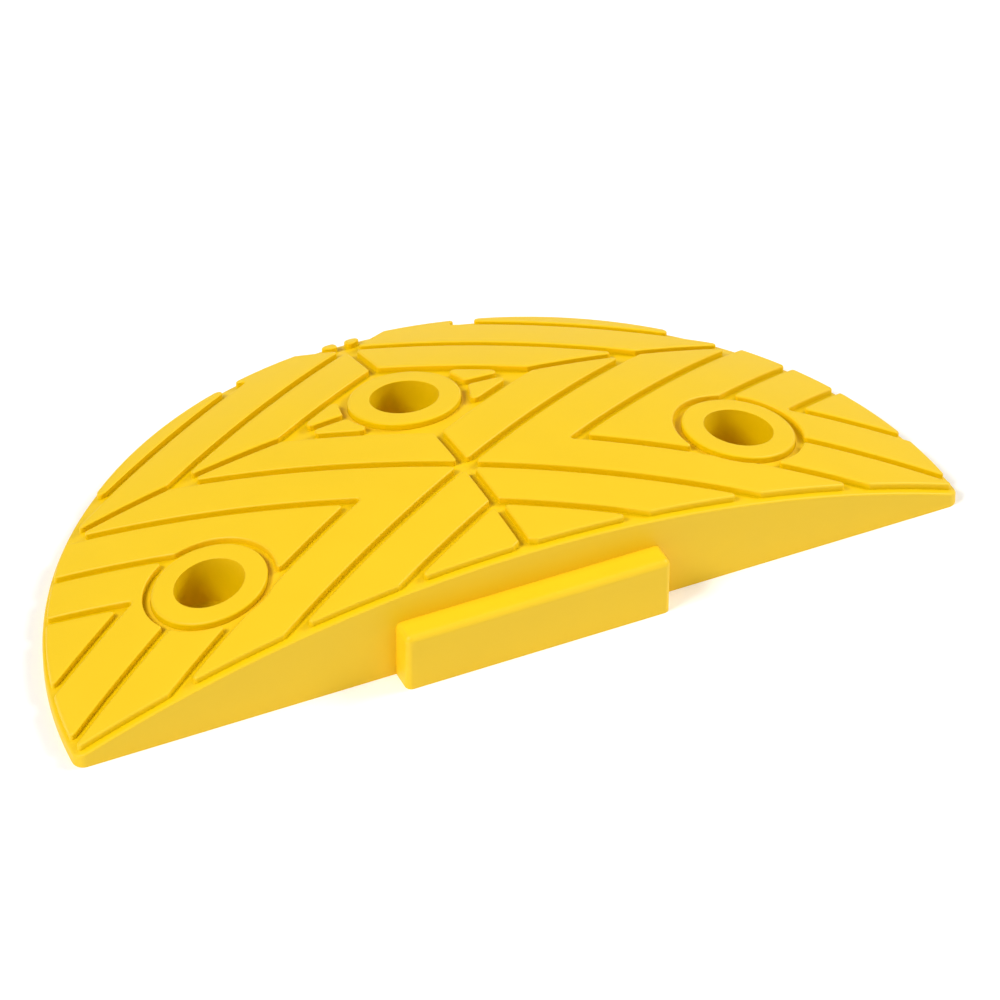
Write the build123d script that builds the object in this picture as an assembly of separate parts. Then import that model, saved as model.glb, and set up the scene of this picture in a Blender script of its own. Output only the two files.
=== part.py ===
from build123d import *

import math
import os

# Half-round end piece of a modular speed bump.
# The end face lies in the plane Y = 0 and the dome falls away from its middle to a round rim.
# The origin is on the ground at the middle of the end face. X runs along that face, Y to the rear, Z up.
# All sizes are in millimetres.

# Dome
cap_radius = 210.0
cap_height = 50.0
rim_height = 5.5
end_corner_radius = 5.0

# Tread: raised pads between rows of chevron grooves, with a straight groove between the rows
tread_depth = 3.5
groove_width = 4.2
groove_angle = 30.0
groove_pitch = 53.5
chevron_tip_y = 66.0
chevron_half_span = 65.5
pad_corner_radius = 1.4
narrow_pad_corner_radius = 2.3
narrow_pad_width = 9.0
pad_corner_chords = 3
pad_end_setback = 3.3
pad_rim_setback = 1.6

# Bolt positions, from the end face and the rim
front_bolt_y = 53.5
front_bolt_end_inset = 83.6
rear_bolt_rim_inset = 77.1

# Bolt sleeves: a collar that stands in a moat in the tread, over a plain shank that reaches the ground
collar_radius = 25.4
collar_seat_height = 12.0
moat_width = 3.7
shank_radius = 20.0
pocket_radius = 15.5
pocket_floor = 8.0
bolt_hole_radius = 7.0
sleeve_clearance = 0.15

# Connector tongue: a rounded block outside the end face, and a T-shaped root inside it
tongue_length = 125.0
tongue_reach = 12.0
tongue_height = 29.0
tongue_edge_radius = 3.0
neck_length = 90.0
neck_depth = 10.0
head_length = 114.0
head_depth = 12.0
root_height = 22.0
root_clearance = 0.2

front_bolt_x = cap_radius - front_bolt_end_inset
bolt_places = {
    "front_left": (-front_bolt_x, front_bolt_y),
    "front_right": (front_bolt_x, front_bolt_y),
    "rear": (0.0, cap_radius - rear_bolt_rim_inset),
}

upright = (Align.CENTER, Align.CENTER, Align.MIN)


def half_dome(lift):
    """Half-round solid under a spherical top, raised by lift above the floor of the grooves."""
    apex = cap_height - tread_depth + lift
    rise = cap_height - tread_depth - rim_height
    sphere_radius = (cap_radius**2 + rise**2) / (2 * rise)
    # The sphere's poles lie on a level axis, clear of the tread
    ball = Pos(0, 0, apex - sphere_radius) * Rot(90, 0, 0) * Sphere(sphere_radius)
    half_disc = Circle(cap_radius) & Rectangle(2 * cap_radius, cap_radius, align=(Align.CENTER, Align.MIN))
    plan = fillet(half_disc.vertices(), end_corner_radius)
    return extrude(plan, 2 * cap_height) & ball


def chevron(width, tip_radius):
    """Plan of one V-shaped groove that points along -X, with the tip of its middle line at the origin."""
    slope = math.radians(groove_angle)
    reach = chevron_half_span / math.tan(slope)
    half = width / 2 / math.sin(slope)
    line = [(reach, -chevron_half_span), (0, 0), (reach, chevron_half_span)]
    left = [(x - half, y) for x, y in line]
    right = [(x + half, y) for x, y in reversed(line)]
    groove = Polygon(*left, *right, align=None)
    return fillet(groove.vertices().sort_by(Axis.X)[0], tip_radius)


def groove_plan(inset):
    """Plan of the chevron and straight grooves on the right half, each wider by inset on both sides."""
    width = groove_width + 2 * inset
    groove = chevron(width, 2 * inset)
    row_pitch = 2 * chevron_half_span
    first_row = -math.floor((chevron_tip_y + chevron_half_span) / row_pitch)
    last_row = math.floor((cap_radius - chevron_tip_y + chevron_half_span) / row_pitch)
    first_column = -math.ceil(chevron_half_span / math.tan(math.radians(groove_angle)) / groove_pitch)
    last_column = math.ceil(cap_radius / groove_pitch)
    grooves = []
    for row in range(first_row, last_row + 1):
        tip_y = chevron_tip_y + row * row_pitch
        grooves += [Pos(k * groove_pitch, tip_y) * groove for k in range(first_column, last_column + 1)]
        grooves.append(Pos(0, tip_y + chevron_half_span) * Rectangle(2 * cap_radius, width))
    return grooves


def chorded(outline):
    """The outline with its small corner arcs drawn as chords, so that the many corners have few faces."""
    chords = round(pad_corner_chords)
    edges = []
    for edge in outline.edges():
        if edge.geom_type == GeomType.CIRCLE and edge.radius < collar_radius:
            edges += Polyline(*[edge @ (i / chords) for i in range(chords + 1)]).edges()
        else:
            edges.append(edge)
    return make_face(edges).face()


def rounded_pads(inset):
    """Plan outlines of the tread pads on the right half, with corners rounded to a radius of inset.

    The pads are first drawn smaller by that radius, and then grown back by it.
    """
    corner = Pos(groove_width / 2 + inset, pad_end_setback + inset)
    quarter = corner * Rectangle(cap_radius, cap_radius, align=(Align.MIN, Align.MIN))
    cores = Circle(cap_radius - pad_rim_setback - inset) & quarter
    for groove in groove_plan(inset):
        cores -= groove
    for place in bolt_places.values():
        cores -= Pos(*place) * Circle(collar_radius + moat_width + inset)
    return [chorded(offset(core, inset, kind=Kind.ARC)) for core in cores.faces()]


def mean_width(pad):
    return 2 * pad.area / sum(edge.length for edge in pad.edges())


def pad_outlines():
    """Plan outlines of the tread pads on the right half, of which the narrow ones have rounder corners."""
    narrow = [pad for pad in rounded_pads(narrow_pad_corner_radius) if mean_width(pad) < narrow_pad_width]
    wide = []
    for pad in rounded_pads(pad_corner_radius):
        if not any(pad.is_inside(small.center()) for small in narrow):
            wide.append(pad)
    return narrow + wide


def sleeve_blank(clearance):
    """Flanged sleeve with no pocket in it, or the seat for it with a clearance round it."""
    shank = Cylinder(shank_radius + clearance, cap_height, align=upright)
    collar = Cylinder(collar_radius + clearance, cap_height, align=upright)
    return shank + Pos(0, 0, collar_seat_height) * collar


def tongue_root(clearance):
    """T-shaped root of the tongue, or the slot for it with a clearance all round."""
    grow = 2 * clearance
    base = (Align.CENTER, Align.MIN, Align.MIN)
    neck = Box(neck_length + grow, neck_depth + clearance, root_height + clearance, align=base)
    head = Box(head_length + grow, head_depth + grow, root_height + clearance, align=base)
    return neck + Pos(0, neck_depth - clearance, 0) * head


def end_cap_body():
    right_half = Part() + [extrude(outline, cap_height) for outline in pad_outlines()]
    right_pads = half_dome(tread_depth) & right_half
    body = half_dome(0) + right_pads + mirror(right_pads, Plane.YZ)
    for place in bolt_places.values():
        body -= Pos(*place) * sleeve_blank(sleeve_clearance)
    return body - tongue_root(root_clearance)


def bolt_sleeve(place):
    sleeve = (Pos(*place) * sleeve_blank(0)) & half_dome(tread_depth)
    sleeve -= Pos(*place, pocket_floor) * Cylinder(pocket_radius, cap_height, align=upright)
    return sleeve - Pos(*place) * Cylinder(bolt_hole_radius, cap_height, align=upright)


def connector_tongue():
    block = Box(tongue_length, tongue_reach, tongue_height, align=(Align.CENTER, Align.MAX, Align.MIN))
    front = block.faces().sort_by(Axis.Y)[0].edges().filter_by(Axis.Z)
    top = block.faces().sort_by(Axis.Z)[-1].edges().sort_by(Axis.Y)[:-1]
    block = fillet(front + top, tongue_edge_radius)
    return block + tongue_root(0)


os.makedirs("parts", exist_ok=True)
export_step(end_cap_body(), "parts/end_cap_body.step")
export_step(connector_tongue(), "parts/connector_tongue.step")
for name, place in bolt_places.items():
    export_step(bolt_sleeve(place), f"parts/{name}_bolt_sleeve.step")
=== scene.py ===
import math

import bmesh
import bpy
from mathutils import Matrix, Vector
from mathutils.geometry import delaunay_2d_cdt
from mathutils.kdtree import KDTree


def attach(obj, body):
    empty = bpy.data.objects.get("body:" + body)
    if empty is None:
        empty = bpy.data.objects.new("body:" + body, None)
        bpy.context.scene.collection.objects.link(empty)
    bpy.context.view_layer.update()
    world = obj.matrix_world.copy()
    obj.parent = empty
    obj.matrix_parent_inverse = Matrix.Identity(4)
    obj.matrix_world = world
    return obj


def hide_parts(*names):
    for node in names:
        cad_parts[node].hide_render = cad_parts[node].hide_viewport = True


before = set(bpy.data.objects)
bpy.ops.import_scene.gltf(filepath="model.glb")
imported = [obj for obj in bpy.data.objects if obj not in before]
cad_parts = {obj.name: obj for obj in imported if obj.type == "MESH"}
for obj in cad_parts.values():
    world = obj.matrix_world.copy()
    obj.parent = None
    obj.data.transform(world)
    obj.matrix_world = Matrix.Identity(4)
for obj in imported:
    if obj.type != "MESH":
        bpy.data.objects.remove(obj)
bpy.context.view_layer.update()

# Half-round end piece of a modular speed bump, in moulded yellow plastic on a white studio floor.
# Shapes are drawn in millimetres, in the frame of the CAD, and become metres when an object is made.
MM = 0.001

# Dome
CAP_RADIUS = 210.0
CAP_HEIGHT = 50.0
RIM_HEIGHT = 5.5
END_CORNER_RADIUS = 5.0
TREAD_DEPTH = 3.5
DOME_RISE = CAP_HEIGHT - TREAD_DEPTH - RIM_HEIGHT
DOME_RADIUS = (CAP_RADIUS**2 + DOME_RISE**2) / (2 * DOME_RISE)
DOME_CENTRE_Z = CAP_HEIGHT - TREAD_DEPTH - DOME_RADIUS

# Soft edges of the moulding
PAD_CORNER_RADIUS = 1.4
PAD_EDGE_RADIUS = 1.05
PAD_FOOT_RADIUS = 0.12
BODY_EDGE_RADIUS = 1.0
EDGE_STEPS = 5
FOOT_STEPS = 3

# Bolt sleeves and their seats
BOLT_PLACES = {
    "front_left_bolt_sleeve": (-126.4, 53.5),
    "front_right_bolt_sleeve": (126.4, 53.5),
    "rear_bolt_sleeve": (0.0, 132.9),
}
COLLAR_RADIUS = 25.4
COLLAR_SEAT_HEIGHT = 12.0
COLLAR_EDGE_RADIUS = 1.3
SHANK_RADIUS = 20.0
POCKET_RADIUS = 15.5
POCKET_FLOOR = 8.0
POCKET_MOUTH_RADIUS = 0.4
POCKET_FOOT_RADIUS = 0.8
BOLT_HOLE_RADIUS = 7.0
BOLT_HOLE_EDGE_RADIUS = 0.4
SLEEVE_CLEARANCE = 0.15
COLLAR_ROWS = 5
SLEEVE_SIDES = 96

# Connector tongue, with the T-shaped root that sits in the body
TONGUE_LENGTH = 125.0
TONGUE_REACH = 12.0
TONGUE_HEIGHT = 29.0
TONGUE_EDGE_RADIUS = 3.0
TONGUE_EDGE_STEPS = 8
NECK_LENGTH = 90.0
NECK_DEPTH = 10.0
HEAD_LENGTH = 114.0
HEAD_DEPTH = 12.0
ROOT_HEIGHT = 22.0
ROOT_CLEARANCE = 0.2

# Fineness of the meshes
LINE_STEP = 4.0
RIM_STEP = 2.5
CORNER_STEP = 0.8
FILL_STEP = 6.0
SAME_POINT = 0.02
SAME_SURFACE = 0.05
MERGE_DISTANCE = 0.0002
FACING_UP = 0.5
STRAIGHT_TURN = math.radians(0.5)
CORNER_TURN = math.radians(10)
SHARP_ANGLE = math.radians(40)
INSIDE_LOOPS = 1
TINY = 1e-5

# Yellow plastic: faint mottling in colour and roughness, and a fine grain
YELLOWS = ((0.905, 0.585, 0.0065, 1), (0.925, 0.599, 0.0075, 1))
GLOSS_COLOUR = (1, 1, 1, 1)
GLOSS_LEVEL = 0.38
ROUGHNESS_SPAN = (0.42, 0.56)
MOTTLE_SCALE = 35.0
MOTTLE_DETAIL = 4.0
MOTTLE_SPAN = (0.3, 0.7)
GRAIN_SCALE = 1400.0
GRAIN_DETAIL = 2.0
GRAIN_STRENGTH = 0.12
GRAIN_HEIGHT = 0.0001

# Painted shade in grooves, moats and pockets, by how open a place is to its surroundings: a darker base
# colour, a dimmed gloss tint that paints shade on the reflection, a rougher surface, and a painted shade
# line along the inner corners
GROOVE_REACH = 5.0
POCKET_REACH = 30.0
OPENNESS_SAMPLES = 6
RECESS_OPENNESS = (0.75, 0.55)
# Painted shade: the base colour darkened in grooves, moats and pockets
RECESS_SHADE_COLOUR = (0.79, 0.55, 0.0, 1)
RECESS_ROUGHNESS = 0.85
# Painted shade on the reflection: the gloss tint dimmed in tight places
GLOSS_SHADE_OPENNESS = (0.97, 0.72)
GLOSS_SHADE_TINT = (0.6, 0.35, 0.0, 1)
# Painted shade line along the inner corners at the feet of walls
CORNER_REACH = 1.6
CORNER_OPENNESS = (0.8, 0.5)
CORNER_SHADE_COLOUR = (0.74, 0.52, 0.0, 1)

# Camera, as fitted to the photograph
CAMERA_AZIMUTH = math.radians(-24.42)
CAMERA_ELEVATION = math.radians(40.31)
CAMERA_DISTANCE = 2.794
CAMERA_TARGET = Vector((0.0258, 0.08684, 0.0))
CAMERA_LENS = 226.67
CAMERA_SENSOR = 36.0

# Studio floor, with the light by which it looks brighter than it is lit
FLOOR_REACH = 6.0
FLOOR_COLOUR = (0.92, 0.92, 0.92, 1)
FLOOR_ROUGHNESS = 0.9
FLOOR_LIFT = 0.15

# Light: the surroundings, and lamps by azimuth from +X, elevation and level
WORLD_LEVEL = 0.32
LAMPS = {
    "left_lamp": (188.0, 45.0, 0.68),
    "right_lamp": (357.0, 37.0, 0.53),
    "front_lamp": (290.0, 24.0, 0.10),
}
LAMP_SPREAD = math.radians(22)


def floor_height(x, y):
    """Height of the groove floor, which is a dome, above the ground."""
    return DOME_CENTRE_Z + math.sqrt(DOME_RADIUS**2 - x**2 - y**2)


def pad_height(x, y):
    return floor_height(x, y) + TREAD_DEPTH


def quarter_turn(steps):
    """Angles from 0 to 90 degrees, both included."""
    return [math.pi / 2 * i / steps for i in range(steps + 1)]


def line(start, end, step):
    """Points along a line, without its end."""
    start, end = Vector(start), Vector(end)
    count = max(1, math.ceil((end - start).length / step))
    return [start.lerp(end, i / count) for i in range(count)]


def arc(centre, radius, start, stop, step):
    """Points along an arc from one angle to another, without its end."""
    count = max(1, math.ceil(abs(stop - start) * radius / step))
    angles = [start + (stop - start) * i / count for i in range(count)]
    return [Vector((centre[0] + radius * math.cos(a), centre[1] + radius * math.sin(a))) for a in angles]


def outward(start, end):
    """Unit normal on the right of a segment, which is the outside of an anticlockwise loop."""
    along = (end - start).normalized()
    return Vector((along.y, -along.x))


def offset_loop(loop, distance):
    """Closed anticlockwise loop moved outwards in plan by distance, with mitred corners."""
    moved = []
    for i, point in enumerate(loop):
        before = outward(loop[i - 1], point)
        after = outward(point, loop[(i + 1) % len(loop)])
        moved.append(point + (before + after) * distance / (1 + before.dot(after)))
    return moved


def ring(bm, points, height):
    """One vertex for each plan point, at the height that the function gives there."""
    return [bm.verts.new((x, y, height(x, y))) for x, y in points]


def level_ring(bm, points, z):
    return [bm.verts.new((x, y, z)) for x, y in points]


def bridge(bm, one, other, closed=True):
    """Quads between two rings of equal length."""
    for i in range(0 if closed else 1, len(one)):
        bm.faces.new((one[i - 1], one[i], other[i], other[i - 1]))


def inner_points(outline):
    """Points of a triangular grid over the outline's box, apart from those close to the outline."""
    tree = KDTree(len(outline))
    for i, point in enumerate(outline):
        tree.insert(point.to_3d(), i)
    tree.balance()
    low_x, high_x = min(p.x for p in outline), max(p.x for p in outline)
    low_y, high_y = min(p.y for p in outline), max(p.y for p in outline)
    row_step = FILL_STEP * math.sqrt(3) / 2
    found = []
    for row in range(math.ceil((high_y - low_y) / row_step)):
        for column in range(math.ceil((high_x - low_x) / FILL_STEP)):
            point = Vector((low_x + (column + row % 2 / 2) * FILL_STEP, low_y + row * row_step))
            if tree.find(point.to_3d())[2] > FILL_STEP / 2:
                found.append(point)
    return found


def anticlockwise(points, loop):
    """The loop of point numbers, turned round if it runs clockwise."""
    area = sum(points[a].cross(points[b]) for a, b in zip(loop, loop[1:] + loop[:1]))
    return loop if area > 0 else loop[::-1]


def fill(bm, rings, axes=(0, 1), height=None):
    """Triangles over the first closed ring, without the other rings inside it, in the plane of two axes.

    With a height function, the area gets inner points too, so that it follows that surface.
    """
    verts = [vert for loop in rings for vert in loop]
    points = [Vector((vert.co[axes[0]], vert.co[axes[1]])) for vert in verts]
    loops = []
    first = 0
    for loop in rings:
        loops.append(anticlockwise(points, list(range(first, first + len(loop)))))
        first += len(loop)
    if height:
        points += inner_points(points)
    places, _, faces, sources, _, covers = delaunay_2d_cdt(points, [], loops, INSIDE_LOOPS, TINY)
    used = {}
    for face, cover in zip(faces, covers):
        if len(cover) > 1:
            continue
        for i in face:
            if i not in used:
                used[i] = verts[sources[i][0]] if sources[i][0] < len(verts) else None
            if used[i] is None:
                x, y = places[i]
                used[i] = bm.verts.new((x, y, height(x, y)))
        bm.faces.new([used[i] for i in face])


def t_outline(clearance):
    """Plan of the tongue's root from its left foot on the end face to its right foot."""
    neck = NECK_LENGTH / 2 + clearance
    head = HEAD_LENGTH / 2 + clearance
    shoulder = NECK_DEPTH - clearance
    back = NECK_DEPTH + HEAD_DEPTH + clearance
    left = [(-neck, 0), (-neck, shoulder), (-head, shoulder), (-head, back)]
    return left + [(-x, y) for x, y in reversed(left)]


def t_root(bm, clearance):
    """Walls and upper face of the root or of its slot. Returns the lower and the upper ring."""
    outline = t_outline(clearance)
    lower = level_ring(bm, outline, 0)
    upper = level_ring(bm, outline, ROOT_HEIGHT + clearance)
    bridge(bm, lower, upper, closed=False)
    fill(bm, [upper])
    return lower, upper


def pad_outlines(mesh):
    """Anticlockwise plan outlines of the tread pads, from the CAD faces that lie at tread height."""
    points = [vert.co / MM for vert in mesh.vertices]
    on_top = [abs(p.z - pad_height(p.x, p.y)) < SAME_SURFACE for p in points]
    half_edges = set()
    for polygon in mesh.polygons:
        corners = list(polygon.vertices)
        if polygon.normal.z > FACING_UP and all(on_top[i] for i in corners):
            half_edges.update(zip(corners, corners[1:] + corners[:1]))
    following = {a: b for a, b in half_edges if (b, a) not in half_edges}
    outlines = []
    while following:
        start = min(following)
        loop = [start]
        while following[loop[-1]] != start:
            loop.append(following.pop(loop[-1]))
        following.pop(loop[-1])
        plan = without_doubles([points[i].to_2d() for i in loop])
        plan = rounded([p for i, p in enumerate(plan) if turn_at(plan, i) > STRAIGHT_TURN])
        outlines.append([p for i in range(len(plan)) for p in line(plan[i - 1], plan[i], LINE_STEP)])
    return outlines


def without_doubles(loop):
    return [p for i, p in enumerate(loop) if (p - loop[i - 1]).length > SAME_POINT]


def turn_at(loop, i):
    """Angle by which a closed loop turns at one of its points."""
    return (loop[i] - loop[i - 1]).angle(loop[(i + 1) % len(loop)] - loop[i])


def rounded(loop):
    """Closed loop with the chords of its corners turned into curves, each within half of its sides."""
    smooth = []
    for i, point in enumerate(loop):
        turn = turn_at(loop, i)
        if turn < CORNER_TURN:
            smooth.append(point)
            continue
        back, ahead = loop[i - 1] - point, loop[(i + 1) % len(loop)] - point
        reach = min(back.length / 2, ahead.length / 2, PAD_CORNER_RADIUS * math.tan(turn / 2))
        start, end = point + back.normalized() * reach, point + ahead.normalized() * reach
        count = math.ceil(turn / CORNER_TURN)
        for k in range(count + 1):
            share = k / count
            smooth.append(start.lerp(point, share).lerp(point.lerp(end, share), share))
    return without_doubles(smooth)


def pad_steps():
    """Offsets and heights from a pad's top down its rounded edge, wall and foot to the groove floor."""
    edge = [
        (PAD_EDGE_RADIUS * (math.sin(a) - 1), TREAD_DEPTH - PAD_EDGE_RADIUS * (1 - math.cos(a)))
        for a in quarter_turn(EDGE_STEPS)
    ]
    foot = [
        (PAD_FOOT_RADIUS * (1 - math.cos(a)), PAD_FOOT_RADIUS * (1 - math.sin(a)))
        for a in quarter_turn(FOOT_STEPS)
    ]
    return edge + foot


def add_pad(bm, outline):
    """One pad with soft edges. Returns the ring where its foot meets the groove floor."""
    previous = None
    for distance, rise in pad_steps():
        current = ring(bm, offset_loop(outline, distance), lambda x, y: floor_height(x, y) + rise)
        if previous:
            bridge(bm, previous, current)
        else:
            fill(bm, [current], height=pad_height)
        previous = current
    return previous


def add_seat(bm, place):
    """Stepped seat for a bolt sleeve. Returns its rings at the groove floor and at the ground."""
    step = 2 * math.pi * COLLAR_RADIUS / SLEEVE_SIDES
    wide = arc(place, COLLAR_RADIUS + SLEEVE_CLEARANCE, 0, 2 * math.pi, step)
    centre = Vector(place)
    shank = SHANK_RADIUS + SLEEVE_CLEARANCE
    narrow = [centre + (p - centre).normalized() * shank for p in wide]
    rings = [
        ring(bm, wide, floor_height),
        level_ring(bm, wide, COLLAR_SEAT_HEIGHT),
        level_ring(bm, narrow, COLLAR_SEAT_HEIGHT),
        level_ring(bm, narrow, 0),
    ]
    for one, other in zip(rings, rings[1:]):
        bridge(bm, one, other)
    return rings[0], rings[-1]


def end_face_line(neck):
    """Points along the lower edge of the end face, from left to right, without its right end."""
    reach = math.sqrt((CAP_RADIUS - END_CORNER_RADIUS) ** 2 - END_CORNER_RADIUS**2)
    stops = [-reach, -neck, neck, reach]
    return [p for a, b in zip(stops, stops[1:]) for p in line((a, 0), (b, 0), LINE_STEP)]


def curved_outline():
    """The rest of the body's plan: the right corner, the round rim and the left corner."""
    inner = CAP_RADIUS - END_CORNER_RADIUS
    reach = math.sqrt(inner**2 - END_CORNER_RADIUS**2)
    tilt = math.asin(END_CORNER_RADIUS / inner)
    turned = math.pi - tilt
    right = arc((reach, END_CORNER_RADIUS), END_CORNER_RADIUS, -math.pi / 2, tilt, CORNER_STEP)
    rim = arc((0, 0), CAP_RADIUS, tilt, turned, RIM_STEP)
    left = arc((-reach, END_CORNER_RADIUS), END_CORNER_RADIUS, turned, 3 * math.pi / 2, CORNER_STEP)
    return right + rim + left


def build_body():
    bm = bmesh.new()
    neck = NECK_LENGTH / 2 + ROOT_CLEARANCE
    straight = end_face_line(neck)
    outline = straight + curved_outline()

    # Rounded upper edge, from the dome to the outer wall
    edge_rings = []
    for angle in quarter_turn(EDGE_STEPS):
        loop = offset_loop(outline, BODY_EDGE_RADIUS * (math.sin(angle) - 1))
        drop = BODY_EDGE_RADIUS * (1 - math.cos(angle))
        edge_rings.append(ring(bm, loop, lambda x, y: floor_height(x, y) - drop))
    for one, other in zip(edge_rings, edge_rings[1:]):
        bridge(bm, one, other)

    # Tread, and the dome between the pads
    pad_feet = [add_pad(bm, loop) for loop in pad_outlines(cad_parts["end_cap_body"].data)]
    seats = [add_seat(bm, place) for place in BOLT_PLACES.values()]
    fill(bm, [edge_rings[0], *pad_feet, *(upper for upper, _ in seats)], height=floor_height)

    # Outer wall, end face and underside, with the slot for the tongue
    wall = edge_rings[-1]
    right = len(straight)
    curved_top = wall[right:] + wall[:1]
    curved_foot = level_ring(bm, [vert.co.to_2d() for vert in curved_top], 0)
    bridge(bm, curved_top, curved_foot, closed=False)
    slot_lower, slot_upper = t_root(bm, ROOT_CLEARANCE)
    slot_mouth = [slot_lower[-1], slot_upper[-1], slot_upper[0], slot_lower[0]]
    fill(bm, [wall[: right + 1] + [curved_foot[0]] + slot_mouth + [curved_foot[-1]]], axes=(0, 2))
    fill(bm, [curved_foot + slot_lower, *(lower for _, lower in seats)])
    return bm


def sleeve_rows():
    """Section of a bolt sleeve: radius, height, and whether the height is from the dome's surface."""
    rows = [(BOLT_HOLE_RADIUS, 0, False)]
    for a in quarter_turn(FOOT_STEPS):
        radius = BOLT_HOLE_RADIUS + BOLT_HOLE_EDGE_RADIUS * (1 - math.cos(a))
        rows.append((radius, POCKET_FLOOR - BOLT_HOLE_EDGE_RADIUS * (1 - math.sin(a)), False))
    for a in quarter_turn(FOOT_STEPS):
        radius = POCKET_RADIUS - POCKET_FOOT_RADIUS * (1 - math.sin(a))
        rows.append((radius, POCKET_FLOOR + POCKET_FOOT_RADIUS * (1 - math.cos(a)), False))
    for a in quarter_turn(FOOT_STEPS):
        radius = POCKET_RADIUS + POCKET_MOUTH_RADIUS * (1 - math.cos(a))
        rows.append((radius, POCKET_MOUTH_RADIUS * (math.sin(a) - 1), True))
    mouth, shoulder = POCKET_RADIUS + POCKET_MOUTH_RADIUS, COLLAR_RADIUS - COLLAR_EDGE_RADIUS
    rows += [(mouth + (shoulder - mouth) * i / COLLAR_ROWS, 0, True) for i in range(1, COLLAR_ROWS)]
    for a in quarter_turn(EDGE_STEPS):
        radius = COLLAR_RADIUS - COLLAR_EDGE_RADIUS * (1 - math.sin(a))
        rows.append((radius, COLLAR_EDGE_RADIUS * (math.cos(a) - 1), True))
    rows += [(COLLAR_RADIUS, COLLAR_SEAT_HEIGHT, False), (SHANK_RADIUS, COLLAR_SEAT_HEIGHT, False)]
    rows.append((SHANK_RADIUS, 0, False))
    return rows


def build_sleeve(place):
    bm = bmesh.new()
    rings = []
    for radius, rise, on_dome in sleeve_rows():
        points = arc(place, radius, 0, 2 * math.pi, 2 * math.pi * radius / SLEEVE_SIDES)
        if on_dome:
            rings.append(ring(bm, points, lambda x, y: pad_height(x, y) + rise))
        else:
            rings.append(level_ring(bm, points, rise))
    for i, current in enumerate(rings):
        bridge(bm, rings[i - 1], current)
    return bm


def tongue_outline(inset):
    """Plan of the tongue's block, from its left back corner round the front to its right back corner."""
    half = TONGUE_LENGTH / 2 - inset
    centre_x = TONGUE_LENGTH / 2 - TONGUE_EDGE_RADIUS
    centre_y = TONGUE_EDGE_RADIUS - TONGUE_REACH
    radius = TONGUE_EDGE_RADIUS - inset
    front = [
        Vector((-centre_x - radius * math.cos(a), centre_y - radius * math.sin(a)))
        for a in quarter_turn(TONGUE_EDGE_STEPS)
    ]
    left = [Vector((-half, 0)), *front]
    return left + [Vector((-p.x, p.y)) for p in reversed(left)]


def build_tongue():
    bm = bmesh.new()
    rings = [level_ring(bm, tongue_outline(0), 0)]
    for a in quarter_turn(TONGUE_EDGE_STEPS):
        inset = TONGUE_EDGE_RADIUS * (1 - math.cos(a))
        drop = TONGUE_EDGE_RADIUS * (1 - math.sin(a))
        rings.append(level_ring(bm, tongue_outline(inset), TONGUE_HEIGHT - drop))
    for one, other in zip(rings, rings[1:]):
        bridge(bm, one, other, closed=False)
    top = rings[-1]
    bm.faces.new((top[0], top[1], top[-2], top[-1]))
    root_lower, root_upper = t_root(bm, 0)
    left_edge = [loop[0] for loop in rings]
    right_edge = [loop[-1] for loop in reversed(rings)]
    root_foot = [root_lower[-1], root_upper[-1], root_upper[0], root_lower[0]]
    fill(bm, [left_edge + right_edge + root_foot], axes=(0, 2))
    fill(bm, [rings[0] + root_lower[::-1]])
    return bm


def make_piece(name, bm, node, material):
    """Smooth-shaded piece from a closed mesh, which stands for a CAD node."""
    bmesh.ops.remove_doubles(bm, verts=bm.verts, dist=MERGE_DISTANCE)
    bmesh.ops.recalc_face_normals(bm, faces=bm.faces)
    bmesh.ops.scale(bm, vec=(MM, MM, MM), verts=bm.verts)
    mesh = bpy.data.meshes.new(name)
    bm.to_mesh(mesh)
    bm.free()
    mesh.shade_smooth()
    mesh.set_sharp_from_angle(angle=SHARP_ANGLE)
    mesh.materials.append(material)
    piece = bpy.data.objects.new(name, mesh)
    bpy.context.scene.collection.objects.link(piece)
    even = piece.modifiers.new("Even shading", "WEIGHTED_NORMAL")
    even.keep_sharp = True
    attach(piece, "root")
    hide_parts(node)
    return piece


def ramp(nodes, links, value, start, stop, low=0.0, high=1.0):
    """Socket that goes from low to high as a value goes from start to stop."""
    node = nodes.new("ShaderNodeMapRange")
    for name, number in (("From Min", start), ("From Max", stop), ("To Min", low), ("To Max", high)):
        node.inputs[name].default_value = number
    links.new(value, node.inputs["Value"])
    return node.outputs["Result"]


def openness(nodes, reach, only_own):
    """Socket with 1 on open surfaces, and less where surfaces of any piece, or only its own, are close."""
    nearby = nodes.new("ShaderNodeAmbientOcclusion")
    nearby.only_local = only_own
    nearby.samples = OPENNESS_SAMPLES
    nearby.inputs["Distance"].default_value = reach * MM
    return nearby.outputs["AO"]


def mixed(nodes, links, share, one, other):
    """Colour socket between two colours, each of which is a socket or a plain colour."""
    node = nodes.new("ShaderNodeMixRGB")
    links.new(share, node.inputs["Fac"])
    for name, colour in (("Color1", one), ("Color2", other)):
        if isinstance(colour, tuple):
            node.inputs[name].default_value = colour
        else:
            links.new(colour, node.inputs[name])
    return node.outputs["Color"]


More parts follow.
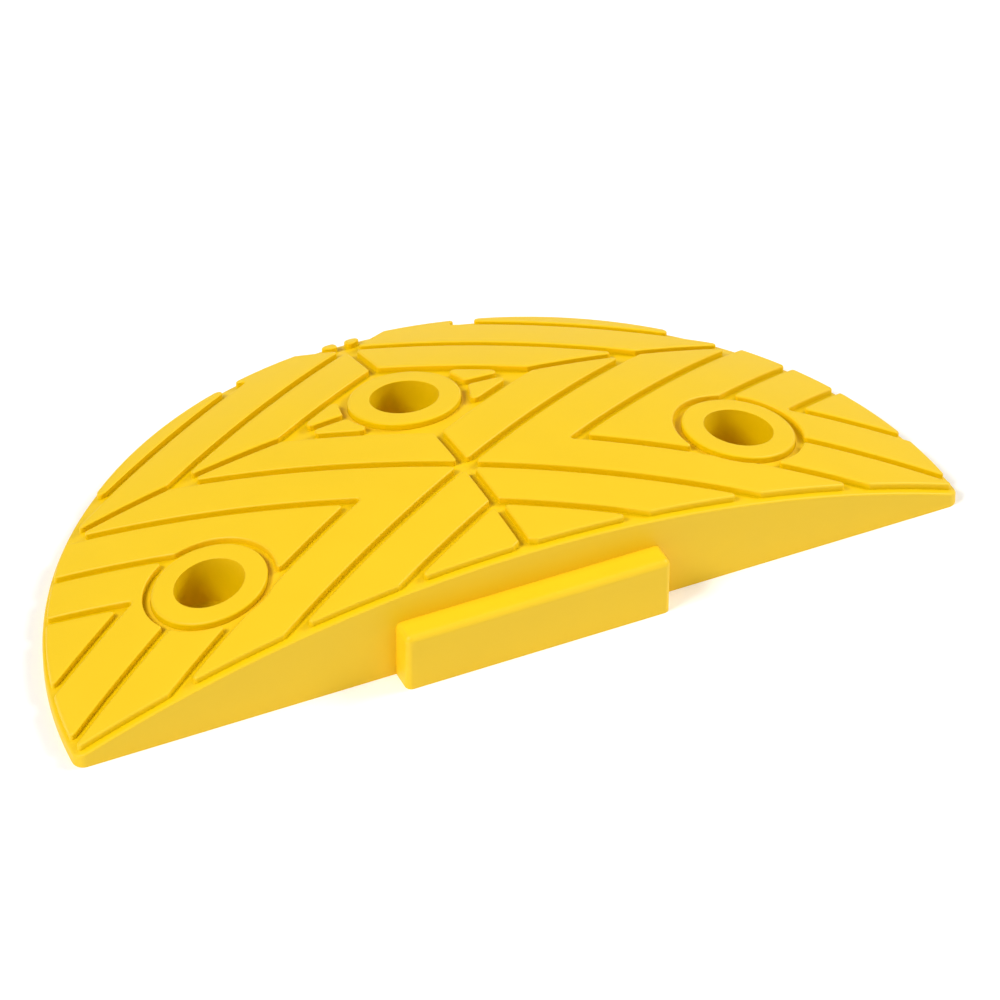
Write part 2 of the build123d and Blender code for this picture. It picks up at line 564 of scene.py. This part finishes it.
def moulded_yellow(name, recess_reach, only_own):
    """Satin yellow plastic with faint mottling, a fine moulded grain, and painted shade in tight places: a
    darker colour and dimmer gloss in grooves and pockets, and a darker line in inner corners.
    """
    material = bpy.data.materials.new(name)
    material.use_nodes = True
    nodes, links = material.node_tree.nodes, material.node_tree.links
    shader = nodes["Principled BSDF"]
    place = nodes.new("ShaderNodeTexCoord").outputs["Object"]

    mottle = nodes.new("ShaderNodeTexNoise")
    mottle.inputs["Scale"].default_value = MOTTLE_SCALE
    mottle.inputs["Detail"].default_value = MOTTLE_DETAIL
    links.new(place, mottle.inputs["Vector"])
    colours = nodes.new("ShaderNodeValToRGB")
    for element, position, colour in zip(colours.color_ramp.elements, MOTTLE_SPAN, YELLOWS):
        element.position = position
        element.color = colour
    links.new(mottle.outputs["Fac"], colours.inputs["Fac"])
    # Painted shade: darker base colour and dimmer gloss tint where the surroundings close in, and a darker
    # line in the inner corners
    around = openness(nodes, recess_reach, only_own)
    recess = ramp(nodes, links, around, *RECESS_OPENNESS)
    gloss_shade = ramp(nodes, links, around, *GLOSS_SHADE_OPENNESS)
    corner = ramp(nodes, links, openness(nodes, CORNER_REACH, only_own), *CORNER_OPENNESS)
    tone = mixed(nodes, links, recess, colours.outputs["Color"], RECESS_SHADE_COLOUR)
    links.new(mixed(nodes, links, corner, tone, CORNER_SHADE_COLOUR), shader.inputs["Base Color"])
    links.new(mixed(nodes, links, gloss_shade, GLOSS_COLOUR, GLOSS_SHADE_TINT), shader.inputs["Specular Tint"])
    shader.inputs["Specular IOR Level"].default_value = GLOSS_LEVEL

    roughness = nodes.new("ShaderNodeMapRange")
    roughness.inputs["To Max"].default_value = RECESS_ROUGHNESS
    links.new(recess, roughness.inputs["Value"])
    links.new(ramp(nodes, links, mottle.outputs["Fac"], 0, 1, *ROUGHNESS_SPAN), roughness.inputs["To Min"])
    links.new(roughness.outputs["Result"], shader.inputs["Roughness"])

    grain = nodes.new("ShaderNodeTexNoise")
    grain.inputs["Scale"].default_value = GRAIN_SCALE
    grain.inputs["Detail"].default_value = GRAIN_DETAIL
    links.new(place, grain.inputs["Vector"])
    bump = nodes.new("ShaderNodeBump")
    bump.inputs["Strength"].default_value = GRAIN_STRENGTH
    bump.inputs["Distance"].default_value = GRAIN_HEIGHT
    links.new(grain.outputs["Fac"], bump.inputs["Height"])
    links.new(bump.outputs["Normal"], shader.inputs["Normal"])
    return material


def make_floor():
    """White studio floor, a little brighter than it is lit, which keeps the object's shadow."""
    corners = [(x * FLOOR_REACH, y * FLOOR_REACH, 0) for x, y in ((-1, -1), (1, -1), (1, 1), (-1, 1))]
    mesh = bpy.data.meshes.new("studio_floor")
    mesh.from_pydata(corners, [], [range(len(corners))])
    floor = bpy.data.objects.new("studio_floor", mesh)
    bpy.context.scene.collection.objects.link(floor)
    material = bpy.data.materials.new("studio_white")
    material.use_nodes = True
    nodes, links = material.node_tree.nodes, material.node_tree.links
    shader = nodes["Principled BSDF"]
    shader.inputs["Base Color"].default_value = FLOOR_COLOUR
    shader.inputs["Roughness"].default_value = FLOOR_ROUGHNESS
    shader.inputs["Specular IOR Level"].default_value = 0.0
    shader.inputs["Emission Color"].default_value = (1, 1, 1, 1)
    rays = nodes.new("ShaderNodeLightPath").outputs
    seen = rays["Is Camera Ray"]
    for kind in ("Is Glossy Ray", "Is Transmission Ray"):
        either = nodes.new("ShaderNodeMath")
        either.operation = "MAXIMUM"
        links.new(seen, either.inputs[0])
        links.new(rays[kind], either.inputs[1])
        seen = either.outputs["Value"]
    links.new(ramp(nodes, links, seen, 0, 1, 0, FLOOR_LIFT), shader.inputs["Emission Strength"])
    mesh.materials.append(material)


def make_light():
    """Even white surroundings, and wide soft lamps on the left, the right and in front."""
    world = bpy.data.worlds.new("studio")
    bpy.context.scene.world = world
    world.use_nodes = True
    background = world.node_tree.nodes["Background"]
    background.inputs["Color"].default_value = (1, 1, 1, 1)
    background.inputs["Strength"].default_value = WORLD_LEVEL

    for name, (azimuth, elevation, strength) in LAMPS.items():
        lamp = bpy.data.lights.new(name, "SUN")
        lamp.energy = strength * math.pi
        lamp.angle = LAMP_SPREAD
        holder = bpy.data.objects.new(name, lamp)
        across, up = math.radians(azimuth), math.radians(elevation)
        level = Vector((math.cos(across), math.sin(across), 0)) * math.cos(up)
        to_lamp = level + Vector((0, 0, math.sin(up)))
        holder.rotation_euler = to_lamp.to_track_quat("Z", "Y").to_euler()
        bpy.context.scene.collection.objects.link(holder)


def make_camera():
    away = Vector((
        math.sin(CAMERA_AZIMUTH) * math.cos(CAMERA_ELEVATION),
        -math.cos(CAMERA_AZIMUTH) * math.cos(CAMERA_ELEVATION),
        math.sin(CAMERA_ELEVATION),
    ))
    data = bpy.data.cameras.new("camera")
    data.lens = CAMERA_LENS
    data.sensor_width = CAMERA_SENSOR
    camera = bpy.data.objects.new("camera", data)
    camera.location = CAMERA_TARGET + away * CAMERA_DISTANCE
    camera.rotation_euler = (-away).to_track_quat("-Z", "Y").to_euler()
    bpy.context.scene.collection.objects.link(camera)
    bpy.context.scene.camera = camera


body_plastic = moulded_yellow("yellow_body_plastic", GROOVE_REACH, True)
tongue_plastic = moulded_yellow("yellow_tongue_plastic", GROOVE_REACH, True)
sleeve_plastic = moulded_yellow("yellow_sleeve_plastic", POCKET_REACH, False)
make_piece("end_cap_shell", build_body(), "end_cap_body", body_plastic)
make_piece("joint_tongue", build_tongue(), "connector_tongue", tongue_plastic)
for node, place in BOLT_PLACES.items():
    name = node.replace("sleeve", "bush")
    make_piece(name, build_sleeve(place), node, sleeve_plastic)

make_floor()
make_light()
make_camera()
bpy.context.scene.view_settings.view_transform = "Standard"
